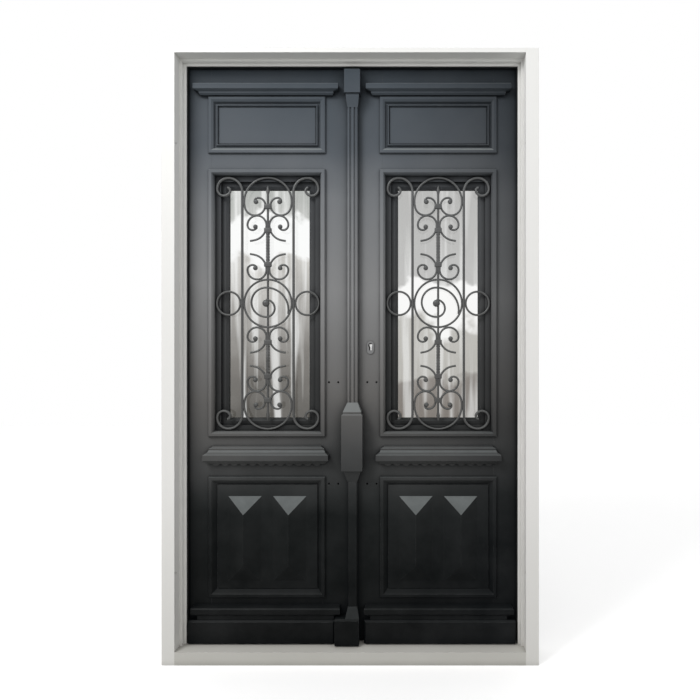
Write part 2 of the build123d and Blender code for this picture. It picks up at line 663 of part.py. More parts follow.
def escutcheon():
    """The lock's plate on the right leaf, with its keyhole."""
    width, height = ESCUTCHEON_SIZE
    plate = SlotOverall(height, width, rotation=90)
    slot = Pos(0, -KEYHOLE_SLOT[1] / 2) * Rectangle(*KEYHOLE_SLOT)
    opening = Pos(0, KEYHOLE_R) * (Circle(KEYHOLE_R) + slot)
    place = Plane(origin=(LOCK_ACROSS, 0, LOCK_UP), x_dir=(1, 0, 0), z_dir=(0, -1, 0))
    return extrude(place * (plate - opening), amount=ESCUTCHEON_THICK, dir=(0, -1, 0))


def leaf():
    """The left leaf's pieces that the right leaf mirrors."""
    return {
        "hinge_stile": block(-LEAF_EDGE, -COLUMN_OUT + LIP_LAP, 0, LEAF_THICK, SILL_GAP, LEAF_TOP),
        "meeting_stile": meeting_stile(),
        "rails": rails(),
        "cornice": cornice(),
        "top_panel": panel(TOP_PANEL_BOTTOM, TOP_PANEL_TOP, TOP_FIELD_INSET),
        "top_moulding": column_ring(top_section(), TOP_PANEL_BOTTOM, TOP_PANEL_TOP),
        "window_moulding": column_ring(window_section(), WINDOW_BOTTOM, WINDOW_TOP),
        "sash": column_ring(sash_section(), WINDOW_BOTTOM, WINDOW_TOP),
        "glass": glass(),
        "ledge": ledge(),
        "lower_panel": lower_panel(),
        "lower_moulding": column_ring(lower_section(), LOWER_BOTTOM, LOWER_TOP),
        "plinth_moulding": plinth_moulding(),
        "hinges": hinges(True),
    }


def door():
    """Every piece by name, with heights above the sill's top."""
    pieces = {**surround(), **stop_frame()}
    frame_hinges = hinges(False)
    pieces["frame_hinges_left"] = frame_hinges
    pieces["frame_hinges_right"] = mirror(frame_hinges, about=Plane.YZ)
    for name, piece in leaf().items():
        pieces["left_" + name] = piece
        pieces["right_" + name] = mirror(piece, about=Plane.YZ)
    face = grille_face()
    pieces["left_grille"] = grille(face, -COLUMN_MID)
    pieces["right_grille"] = grille(face, COLUMN_MID)
    pieces["left_plinth"] = plinth(FOOT_LEFT)
    pieces["right_plinth"] = mirror(plinth(RIGHT_PLINTH_START), about=Plane.YZ)
    pieces["astragal_foot"] = astragal_foot()
    pieces["astragal_shaft"] = astragal_shaft()
    pieces["astragal_box"] = astragal_box()
    pieces["astragal_capital"] = astragal_capital()
    pieces["lock_escutcheon"] = escutcheon()
    return pieces


os.makedirs("parts", exist_ok=True)
for node, piece in door().items():
    solids = [Pos(0, 0, SILL_THICK) * solid for solid in piece.solids()]
    export_step(solids[0] if len(solids) == 1 else Compound(solids), f"parts/{node}.step")
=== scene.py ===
"""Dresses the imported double-leaf entry door: paints, glass, forged grilles, lock, screws, seal and a plain studio."""

import json
import logging
import math
from collections.abc import Callable
from dataclasses import dataclass
from enum import Enum

import bmesh
import bpy
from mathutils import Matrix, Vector

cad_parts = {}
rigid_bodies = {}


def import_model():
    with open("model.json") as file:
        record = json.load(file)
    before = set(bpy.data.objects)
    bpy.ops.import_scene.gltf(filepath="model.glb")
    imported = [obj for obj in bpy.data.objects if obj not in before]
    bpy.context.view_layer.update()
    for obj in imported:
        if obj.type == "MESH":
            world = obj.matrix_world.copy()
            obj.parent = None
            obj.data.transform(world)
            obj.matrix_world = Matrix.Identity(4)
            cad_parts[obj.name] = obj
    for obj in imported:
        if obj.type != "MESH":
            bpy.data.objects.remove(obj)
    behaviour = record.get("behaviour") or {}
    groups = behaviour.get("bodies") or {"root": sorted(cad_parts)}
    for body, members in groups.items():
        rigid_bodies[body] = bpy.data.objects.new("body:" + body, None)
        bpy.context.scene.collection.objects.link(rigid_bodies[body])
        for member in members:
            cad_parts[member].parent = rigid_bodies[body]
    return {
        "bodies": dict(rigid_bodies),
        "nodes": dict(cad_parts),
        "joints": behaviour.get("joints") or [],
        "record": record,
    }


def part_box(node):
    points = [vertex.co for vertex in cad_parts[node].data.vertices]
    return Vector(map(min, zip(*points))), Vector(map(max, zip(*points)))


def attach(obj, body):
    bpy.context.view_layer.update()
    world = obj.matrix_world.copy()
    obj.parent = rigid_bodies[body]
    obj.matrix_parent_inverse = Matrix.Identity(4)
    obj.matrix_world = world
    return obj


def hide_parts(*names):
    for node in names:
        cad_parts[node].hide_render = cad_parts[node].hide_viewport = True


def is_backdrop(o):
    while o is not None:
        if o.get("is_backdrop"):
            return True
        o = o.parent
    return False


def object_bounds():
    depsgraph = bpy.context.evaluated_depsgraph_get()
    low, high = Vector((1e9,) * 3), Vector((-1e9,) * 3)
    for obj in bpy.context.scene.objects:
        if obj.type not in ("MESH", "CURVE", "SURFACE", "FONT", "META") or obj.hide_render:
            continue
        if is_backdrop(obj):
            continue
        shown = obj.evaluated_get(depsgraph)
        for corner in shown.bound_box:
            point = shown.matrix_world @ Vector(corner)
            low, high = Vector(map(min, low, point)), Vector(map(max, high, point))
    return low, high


LOG = logging.getLogger("entry_door")
IMAGE_SIZE = 700
SMOOTH_ANGLE = 35.0
END_FACING = 0.9
WHITE = (1.0, 1.0, 1.0, 1.0)
BLACK = (0.0, 0.0, 0.0, 1.0)
Colour = tuple[float, float, float]
Point = tuple[float, float, float]
Object = bpy.types.Object
Socket = bpy.types.NodeSocket


class Body(Enum):
    """The bodies that pieces ride on."""

    FRAME = "frame"
    LEFT = "left_leaf"
    RIGHT = "right_leaf"


class Side(Enum):
    """One leaf of the pair: its name, its sign along X and its body."""

    LEFT = ("left", -1, Body.LEFT)
    RIGHT = ("right", 1, Body.RIGHT)

    def __init__(self, label: str, sign: int, body: Body) -> None:
        """Names the member's values.

        Args:
            label: the side's name as the nodes spell it.
            sign: -1 for the left leaf, 1 for the right one.
            body: the body that this leaf's pieces ride on.
        """
        self.label, self.sign, self.body = label, sign, body


class Graph:
    """Adds and links shader nodes."""

    def __init__(self, tree: bpy.types.NodeTree) -> None:
        """Keeps the tree that nodes are added to.

        Args:
            tree: the material's or group's node tree.
        """
        self.tree = tree

    def add(self, kind: str, **settings: object) -> bpy.types.Node:
        """Adds one node.

        Args:
            kind: the node's type name.
            settings: attributes set on the node.

        Returns:
            The new node.
        """
        node = self.tree.nodes.new(kind)
        for name, value in settings.items():
            setattr(node, name, value)
        return node

    def feed(self, node: bpy.types.Node, inputs: dict[str | int, object]) -> bpy.types.Node:
        """Sets or links a node's inputs.

        Args:
            node: the node to feed.
            inputs: socket name or index to a value, or to the output socket that drives it.

        Returns:
            The same node.
        """
        for key, value in inputs.items():
            if isinstance(value, Socket):
                self.tree.links.new(value, node.inputs[key])
            else:
                node.inputs[key].default_value = value
        return node

    def math(self, operation: str, first: object, second: object = 0.0, clamp: bool = False) -> Socket:
        """Adds a Math node.

        Args:
            operation: the Math node's operation.
            first: value or socket for the first input.
            second: value or socket for the second input.
            clamp: whether the result is held between 0 and 1.

        Returns:
            The node's output.
        """
        node = self.add("ShaderNodeMath", operation=operation, use_clamp=clamp)
        return self.feed(node, {0: first, 1: second}).outputs[0]

    def mix(self, factor: object, first: object, second: object) -> Socket:
        """Mixes two colours.

        Args:
            factor: value or socket, 0 for the first colour.
            first: colour or socket.
            second: colour or socket.

        Returns:
            The mixed colour's socket.
        """
        node = self.add("ShaderNodeMix", data_type="RGBA")
        return self.feed(node, {0: factor, 6: first, 7: second}).outputs[2]

    def span(self, value: object, low: float, high: float, start: float = 0.0,
             end: float = 1.0) -> Socket:
        """Maps a value's range to another, held at its ends.

        Args:
            value: the socket to map.
            low: the value that gives `start`.
            high: the value that gives `end`.
            start: result at `low`.
            end: result at `high`.

        Returns:
            The mapped value's socket.
        """
        node = self.add("ShaderNodeMapRange", clamp=True)
        return self.feed(node, {0: value, 1: low, 2: high, 3: start, 4: end}).outputs[0]

    def ramp(self, share: object, levels: tuple[tuple[float, Colour], ...]) -> Socket:
        """Adds a colour ramp.

        Args:
            share: the socket that runs along the ramp, 0 to 1.
            levels: positions and their colours, in order, the first at 0 and the last at 1.

        Returns:
            The colour's socket.
        """
        ramp = self.add("ShaderNodeValToRGB")
        ramp.color_ramp.elements[0].color = opaque(levels[0][1])
        ramp.color_ramp.elements[1].color = opaque(levels[-1][1])
        for position, colour in levels[1:-1]:
            ramp.color_ramp.elements.new(position).color = opaque(colour)
        return self.feed(ramp, {0: share}).outputs[0]

    def place(self) -> Socket:
        """Adds the place on the object, in metres.

        Returns:
            The place's socket.
        """
        return self.add("ShaderNodeTexCoord").outputs["Object"]

    def axis(self, vector: Socket, letter: str) -> Socket:
        """Takes one axis of a vector.

        Args:
            vector: the vector's socket.
            letter: the axis.

        Returns:
            The axis's socket.
        """
        return self.feed(self.add("ShaderNodeSeparateXYZ"), {0: vector}).outputs[letter]

    def group(self, tree: bpy.types.NodeTree, inputs: dict[str, object]) -> bpy.types.Node:
        """Adds a shared group.

        Args:
            tree: the group.
            inputs: what its inputs are set to.

        Returns:
            The group's node.
        """
        return self.feed(self.add("ShaderNodeGroup", node_tree=tree), inputs)

    def noise(self, vector: object, scale: float, detail: float = 4.0, rough: float = 0.5) -> Socket:
        """Adds a noise texture.

        Args:
            vector: the coordinate socket.
            scale: how many lumps to a metre.
            detail: octaves.
            rough: how strong the fine octaves are.

        Returns:
            The noise value's socket.
        """
        node = self.add("ShaderNodeTexNoise")
        return self.feed(node, {"Vector": vector, "Scale": scale, "Detail": detail, "Roughness": rough}).outputs[0]


def opaque(colour: Colour) -> tuple[float, float, float, float]:
    """Gives a colour full alpha.

    Args:
        colour: red, green and blue.

    Returns:
        The colour with its alpha.
    """
    return (*colour, 1.0)


def new_material(name: str) -> tuple[bpy.types.Material, Graph, bpy.types.Node]:
    """Makes an empty material.

    Args:
        name: the material's name.

    Returns:
        The material, its graph and its shader.
    """
    material = bpy.data.materials.new(name)
    material.use_nodes = True
    return material, Graph(material.node_tree), material.node_tree.nodes["Principled BSDF"]


class GroupLibrary:
    """The shader groups that several finishes share, each built once."""

    def __init__(self) -> None:
        """Builds the groups."""
        self.wear_and_highlight = self._wear_and_highlight()
        self.grime_and_shade = self._grime_and_shade()
        self.brush = self._brush()
        self.dust_and_sheen = self._dust_and_sheen()

    @staticmethod
    def _open(name: str, inputs: dict[str, float],
              outputs: dict[str, str]) -> tuple[Graph, bpy.types.Node, bpy.types.Node]:
        """Starts a group with named sockets.

        Args:
            name: the group's name.
            inputs: input name to its default value.
            outputs: output name to its socket type.

        Returns:
            The group's graph, its input node and its output node.
        """
        tree = bpy.data.node_groups.new(name, "ShaderNodeTree")
        for label, value in inputs.items():
            tree.interface.new_socket(label, in_out="INPUT", socket_type="NodeSocketFloat").default_value = value
        for label, kind in outputs.items():
            tree.interface.new_socket(label, in_out="OUTPUT", socket_type=kind)
        graph = Graph(tree)
        return graph, graph.add("NodeGroupInput"), graph.add("NodeGroupOutput")

    def _wear_and_highlight(self) -> bpy.types.NodeTree:
        """Edge wear and painted highlight: a rounded normal for sharp edges and a broken mask along them, where the
        paints lighten edges as wear and as painted highlight.

        Returns:
            The group.
        """
        graph, inner, outer = self._open(
            "edge_wear_and_highlight", {"Radius": 0.0015, "Amount": 0.5}, {"Mask": "NodeSocketFloat", "Normal": "NodeSocketVector"})
        bevel = graph.feed(graph.add("ShaderNodeBevel", samples=4), {"Radius": inner.outputs["Radius"]})
        flat = graph.add("ShaderNodeNewGeometry")
        dot = graph.feed(graph.add("ShaderNodeVectorMath", operation="DOT_PRODUCT"),
                         {0: bevel.outputs[0], 1: flat.outputs["True Normal"]}).outputs["Value"]
        edge = graph.span(dot, 0.995, 0.80)
        broken = graph.span(graph.noise(graph.place(), 45.0), 0.38, 0.68)
        mask = graph.math("MULTIPLY", graph.math("MULTIPLY", edge, broken), inner.outputs["Amount"], clamp=True)
        graph.feed(outer, {"Mask": mask, "Normal": bevel.outputs[0]})
        return graph.tree

    def _grime_and_shade(self) -> bpy.types.NodeTree:
        """Grime and painted shade: a mask that gathers in corners and hollows, broken up by noise, where the paints
        darken as grime and as painted shade.

        Returns:
            The group.
        """
        graph, inner, outer = self._open("grime_and_shade", {"Reach": 0.03, "Amount": 0.5}, {"Mask": "NodeSocketFloat"})
        hollow = graph.feed(graph.add("ShaderNodeAmbientOcclusion", samples=8), {"Distance": inner.outputs["Reach"]})
        depth = graph.span(hollow.outputs["AO"], 0.92, 0.35)
        broken = graph.span(graph.noise(graph.place(), 9.0, 6.0, 0.6), 0.25, 0.75, 0.6, 1.0)
        mask = graph.math("MULTIPLY", graph.math("MULTIPLY", depth, broken), inner.outputs["Amount"], clamp=True)
        graph.feed(outer, {"Mask": mask})
        return graph.tree

    def _brush(self) -> bpy.types.NodeTree:
        """Brush marks: long fine strokes up the leaf and a soft orange peel, as a bump height.

        Returns:
            The group.
        """
        graph, inner, outer = self._open(
            "brush_marks", {"Stroke": 220.0, "Peel": 900.0}, {"Height": "NodeSocketFloat", "Tone": "NodeSocketFloat"})
        place = graph.place()
        drawn = graph.feed(graph.add("ShaderNodeMapping"), {"Vector": place, "Scale": (1.0, 1.0, 0.04)}).outputs[0]
        stroke = graph.feed(graph.add("ShaderNodeTexNoise"),
                            {"Vector": drawn, "Scale": inner.outputs["Stroke"], "Detail": 3.0}).outputs[0]
        peel = graph.feed(graph.add("ShaderNodeTexNoise"),
                          {"Vector": place, "Scale": inner.outputs["Peel"], "Detail": 2.0}).outputs[0]
        height = graph.math("ADD", graph.math("MULTIPLY", stroke, 0.7), graph.math("MULTIPLY", peel, 0.3))
        tone = graph.span(graph.noise(place, 5.0, 6.0, 0.62), 0.3, 0.7)
        graph.feed(outer, {"Height": height, "Tone": tone})
        return graph.tree

    def _dust_and_sheen(self) -> bpy.types.NodeTree:
        """Settled dust and painted sheen: a mask on surfaces that lean back and face up, broken up by noise, where the
        paints lighten as dust and as painted highlight from light above.

        Returns:
            The group.
        """
        graph, inner, outer = self._open("settled_dust_and_sheen", {"Amount": 0.5}, {"Mask": "NodeSocketFloat"})
        facing = graph.axis(graph.add("ShaderNodeNewGeometry").outputs["Normal"], "Z")
        lean = graph.math("MULTIPLY", graph.span(facing, 0.12, 0.30), graph.span(facing, 0.42, 0.75, 1.0, 0.25))
        broken = graph.span(graph.noise(graph.place(), 22.0, 6.0, 0.6), 0.2, 0.7, 0.7, 1.0)
        mask = graph.math("MULTIPLY", graph.math("MULTIPLY", lean, broken), inner.outputs["Amount"], clamp=True)
        graph.feed(outer, {"Mask": mask})
        return graph.tree


@dataclass(frozen=True)
class Paint:
    """A satin paint over metal: its colours up the height of the door, which for the door, sash and casing hold painted
    light and shade, its wear with painted edge highlights, its grime with painted shade in hollows, its dust with
    painted highlight on faces that face up, and its surface.
    """

    name: str
    levels: tuple[tuple[float, Colour], ...]
    worn_and_highlight: Colour
    dirt_and_shade: Colour
    dust_and_sheen: Colour = (0.16, 0.175, 0.175)
    roughness: float = 0.42
    specular: float = 0.35
    wear_and_highlight: float = 0.5
    grime_and_shade: float = 0.6
    settled_and_sheen: float = 0.3
    reach: float = 0.03
    tone: float = 0.12
    bump: float = 0.15
    metal: float = 0.0
    height: float = 2.38
    far_side_shade: float = 1.0
    far_shade_span: tuple[float, float] = (0.12, 0.62)
    dust_and_sheen_span: tuple[float, float] = (0.25, 0.62)
    low_dust_and_sheen: float = 0.15
    drift: float = 0.03
    stroke_depth: float = 0.0006

    def build(self, groups: GroupLibrary) -> bpy.types.Material:
        """Makes the material.

        Args:
            groups: the shared shader groups.

        Returns:
            The material, ready to assign.
        """
        material, graph, shader = new_material(self.name)
        material.diffuse_color = opaque(self.levels[-1][1])
        brush = graph.group(groups.brush, {})
        wear_and_highlight = graph.group(groups.wear_and_highlight, {"Amount": self.wear_and_highlight})
        grime_and_shade = graph.group(groups.grime_and_shade, {"Amount": self.grime_and_shade, "Reach": self.reach})
        dust_and_sheen = graph.group(groups.dust_and_sheen, {"Amount": self.settled_and_sheen})
        toned = graph.math("MULTIPLY", brush.outputs["Tone"], self.tone)
        # Painted shade: the colours darken towards the right along X.
        shaded_across = graph.mix(graph.span(graph.axis(graph.place(), "X"), *self.far_shade_span, 0.0, 1.0 - self.far_side_shade),
                          self._light_and_shade_ramp(graph), opaque(self.dirt_and_shade))
        base = graph.mix(toned, shaded_across, opaque(self.worn_and_highlight))
        # Faces that lean back and face up lighten, as dust and as painted highlight, less so towards the bottom.
        settled_and_sheen = graph.math("MULTIPLY", dust_and_sheen.outputs["Mask"],
                             graph.span(graph.axis(graph.place(), "Z"), *self.dust_and_sheen_span, self.low_dust_and_sheen, 1.0))
        dusty_and_sheened = graph.mix(settled_and_sheen, base, opaque(self.dust_and_sheen))
        # Edges lighten, as wear and as painted highlight.
        worn_and_highlight = graph.mix(wear_and_highlight.outputs["Mask"], dusty_and_sheened, opaque(self.worn_and_highlight))
        # Corners and hollows darken, as grime and as painted shade.
        dirty_and_shaded = graph.mix(grime_and_shade.outputs["Mask"], worn_and_highlight, opaque(self.dirt_and_shade))
        rough = graph.span(brush.outputs["Tone"], 0.0, 1.0, self.roughness - 0.06, self.roughness + 0.08)
        dull = graph.math("ADD", rough, graph.math("MULTIPLY", grime_and_shade.outputs["Mask"], 0.2), clamp=True)
        bump = graph.feed(graph.add("ShaderNodeBump"), {
            "Height": brush.outputs["Height"], "Strength": self.bump, "Distance": self.stroke_depth,
            "Normal": wear_and_highlight.outputs["Normal"]})
        graph.feed(shader, {"Base Color": dirty_and_shaded, "Roughness": dull, "Normal": bump.outputs[0], "Metallic": self.metal,
                            "Specular IOR Level": self.specular})
        return material

    def _light_and_shade_ramp(self, graph: Graph) -> Socket:
        """The paint's colours up the height of the door. For the door, sash and casing they hold painted light and
        shade: darker towards the bottom and, on the door and sash, lightest a little above the middle.

        Args:
            graph: the material's graph.

        Returns:
            The colour's socket.
        """
        place = graph.place()
        drift = graph.span(graph.noise(place, 1.7, 3.0), 0.3, 0.7, -self.drift, self.drift)
        level = graph.math("DIVIDE", graph.axis(place, "Z"), self.height)
        share = graph.math("ADD", level, drift, clamp=True)
        return graph.ramp(share, self.levels)


@dataclass(frozen=True)
class Glazing:
    """Glass with a painted reflection: grey and white bands that change up the pane, and faint upright streaks that
    brighten it.
    """

    name: str = "pane_glass"
    levels: tuple[tuple[float, Colour], ...] = (
        (0.0, (0.10, 0.095, 0.085)), (0.25, (0.20, 0.19, 0.175)), (0.50, (0.42, 0.41, 0.39)),
        (0.655, (0.60, 0.59, 0.56)), (0.68, (0.96, 0.97, 0.96)), (0.83, (0.97, 0.98, 0.97)),
        (0.85, (0.52, 0.53, 0.51)), (1.0, (0.42, 0.44, 0.42)))
    clear: Colour = (0.96, 0.97, 0.96)
    low: float = 0.93
    high: float = 1.90
    streaks: float = 0.60

    def build(self, groups: GroupLibrary) -> bpy.types.Material:
        """Makes the glass.

        Args:
            groups: the shared shader groups, which glass has no use for.

        Returns:
            The material.
        """
        material, graph, shader = new_material(self.name)
        place = graph.place()
        drawn = graph.feed(graph.add("ShaderNodeMapping"), {"Vector": place, "Scale": (1.0, 1.0, 0.06)}).outputs[0]
        up = graph.axis(place, "Z")
        drift = graph.span(graph.noise(place, 7.0, 3.0), 0.3, 0.7, -0.06, 0.06)
        # Painted reflection: grey and white bands up the pane, brightened by faint upright streaks.
        share = graph.math("ADD", graph.span(up, self.low, self.high), drift, clamp=True)
        sheen = graph.ramp(share, self.levels)
        streak = graph.span(graph.noise(drawn, 30.0, 2.0), 0.50, 0.62, 0.0, self.streaks)
        colour = graph.mix(streak, sheen, opaque(self.clear))
        rough = graph.span(streak, 0.0, 1.0, 0.0, 0.04)
        graph.feed(shader, {"Base Color": colour, "Roughness": rough, "Transmission Weight": 1.0, "IOR": 1.45})
        return material


class Slot(Enum):
    """The record's material slots, each with a finish. Where several share a slot, the first is its usual one."""

    # Casing levels: painted shade, darker towards the bottom.
    CASING = ("casing_paint", Paint(
        "casing_white", ((0.0, (0.74, 0.73, 0.70)), (0.3, (0.87, 0.86, 0.84)), (1.0, (0.90, 0.90, 0.88))),
        worn_and_highlight=(0.74, 0.74, 0.71), dirt_and_shade=(0.34, 0.33, 0.31), dust_and_sheen=(0.72, 0.71, 0.69), roughness=0.45, wear_and_highlight=0.15,
        grime_and_shade=0.5, tone=0.12, bump=0.10))
    SILL = ("sill_paint", Paint(
        "sill_grey", ((0.0, (0.55, 0.54, 0.50)), (1.0, (0.56, 0.55, 0.51))), worn_and_highlight=(0.66, 0.65, 0.62),
        dirt_and_shade=(0.16, 0.15, 0.13), dust_and_sheen=(0.58, 0.57, 0.54), roughness=0.5, wear_and_highlight=0.35, grime_and_shade=0.6, tone=0.25, bump=0.3))
    STOP = ("stop_paint", Paint(
        "stop_black", ((0.0, (0.006, 0.006, 0.006)), (1.0, (0.014, 0.016, 0.018))), worn_and_highlight=(0.05, 0.05, 0.05),
        dirt_and_shade=(0.004, 0.004, 0.004), dust_and_sheen=(0.03, 0.03, 0.03), specular=0.1, wear_and_highlight=0.2))
    # Door levels: painted light and shade up the height, near black at the foot and lightest a little above the middle;
    # the right leaf also darkens across, painted shade.
    DOOR = ("door_paint", Paint(
        "door_charcoal", (
            (0.0, (0.0012, 0.0015, 0.0015)), (0.15, (0.002, 0.003, 0.003)), (0.235, (0.006, 0.0075, 0.0075)),
            (0.275, (0.026, 0.028, 0.028)), (0.33, (0.068, 0.069, 0.069)), (0.43, (0.145, 0.141, 0.137)),
            (0.61, (0.255, 0.257, 0.260)), (0.76, (0.190, 0.200, 0.212)), (0.86, (0.095, 0.108, 0.124)),
            (1.0, (0.052, 0.066, 0.080))),
        worn_and_highlight=(0.25, 0.255, 0.26), dirt_and_shade=(0.003, 0.004, 0.005), dust_and_sheen=(0.24, 0.26, 0.26), roughness=0.40,
        specular=0.05, wear_and_highlight=0.45, grime_and_shade=0.92, settled_and_sheen=0.62, reach=0.07, tone=0.05, far_side_shade=0.42))
    # The sash: a darker copy of the door paint, painted shade from the mouldings round it.
    SHADED_SASH = ("door_paint", Paint(
        "sash_charcoal_shaded", (
            (0.0, (0.020, 0.021, 0.021)), (0.45, (0.040, 0.041, 0.041)), (0.62, (0.075, 0.077, 0.079)),
            (1.0, (0.055, 0.062, 0.072))),
        worn_and_highlight=(0.20, 0.205, 0.21), dirt_and_shade=(0.002, 0.0025, 0.003), dust_and_sheen=(0.12, 0.13, 0.13), roughness=0.40,
        specular=0.05, wear_and_highlight=0.5, grime_and_shade=0.95, settled_and_sheen=0.3, reach=0.05, tone=0.05))
    PLATE = ("lock_steel", Paint(
        "lock_plate_paint", ((0.0, (0.20, 0.20, 0.20)), (1.0, (0.23, 0.232, 0.235))), worn_and_highlight=(0.34, 0.34, 0.34),
        dirt_and_shade=(0.02, 0.02, 0.02), specular=0.1, wear_and_highlight=0.8))
    # Near-black disc in the keyhole: painted shadow.
    KEYHOLE_SHADOW = ("lock_steel", Paint(
        "keyhole_shadow", ((0.0, (0.004, 0.004, 0.004)), (1.0, (0.006, 0.005, 0.005))), worn_and_highlight=(0.01, 0.01, 0.01),
        dirt_and_shade=(0.002, 0.002, 0.002), dust_and_sheen=(0.01, 0.01, 0.01), roughness=0.8, specular=0.0, wear_and_highlight=0.1))
    IRON = ("iron_paint", Paint(
        "grille_iron", ((0.0, (0.040, 0.040, 0.040)), (0.5, (0.062, 0.062, 0.060)), (1.0, (0.10, 0.104, 0.108))),
        worn_and_highlight=(0.24, 0.24, 0.24), dirt_and_shade=(0.02, 0.02, 0.02), roughness=0.42, specular=0.4, wear_and_highlight=0.5, grime_and_shade=0.3,
        bump=0.5))
    RUBBER = ("stop_paint", Paint(
        "seal_rubber", ((0.0, (0.010, 0.010, 0.010)), (1.0, (0.012, 0.012, 0.012))), worn_and_highlight=(0.03, 0.03, 0.03),
        dirt_and_shade=(0.004, 0.004, 0.004), dust_and_sheen=(0.03, 0.03, 0.03), roughness=0.7, specular=0.15, wear_and_highlight=0.1, bump=0.4))
    HINGE = ("hinge_steel", Paint(
        "hinge_satin_steel", ((0.0, (0.40, 0.40, 0.40)), (1.0, (0.44, 0.44, 0.44))), worn_and_highlight=(0.62, 0.62, 0.62),
        dirt_and_shade=(0.08, 0.07, 0.06), dust_and_sheen=(0.36, 0.35, 0.33), roughness=0.34, metal=1.0, grime_and_shade=0.4))
    LOCK = ("lock_steel", Paint(
        "lock_bright_steel", ((0.0, (0.70, 0.70, 0.69)), (1.0, (0.74, 0.74, 0.73))), worn_and_highlight=(0.85, 0.85, 0.84),
        dirt_and_shade=(0.10, 0.10, 0.10), dust_and_sheen=(0.6, 0.6, 0.58), roughness=0.25, metal=1.0, grime_and_shade=0.3))
    # Both panes: painted reflection in the glass's colour, each pane with its own bands.
    GLASS = ("glass", Glazing())
    RIGHT_GLASS = ("glass", Glazing("right_pane_glass", (
        (0.0, (0.19, 0.17, 0.15)), (0.15, (0.24, 0.22, 0.20)), (0.18, (0.46, 0.45, 0.42)),
        (0.38, (0.50, 0.49, 0.46)), (0.41, (0.93, 0.93, 0.92)), (0.57, (0.95, 0.95, 0.94)),
        (0.59, (0.52, 0.52, 0.51)), (1.0, (0.47, 0.47, 0.46))), streaks=0.42))

    def __init__(self, label: str, finish: Paint | Glazing) -> None:
        """Names the member's values.

        Args:
            label: the slot's name in the record.
            finish: the finish that dresses it.
        """
        self.label, self.finish = label, finish


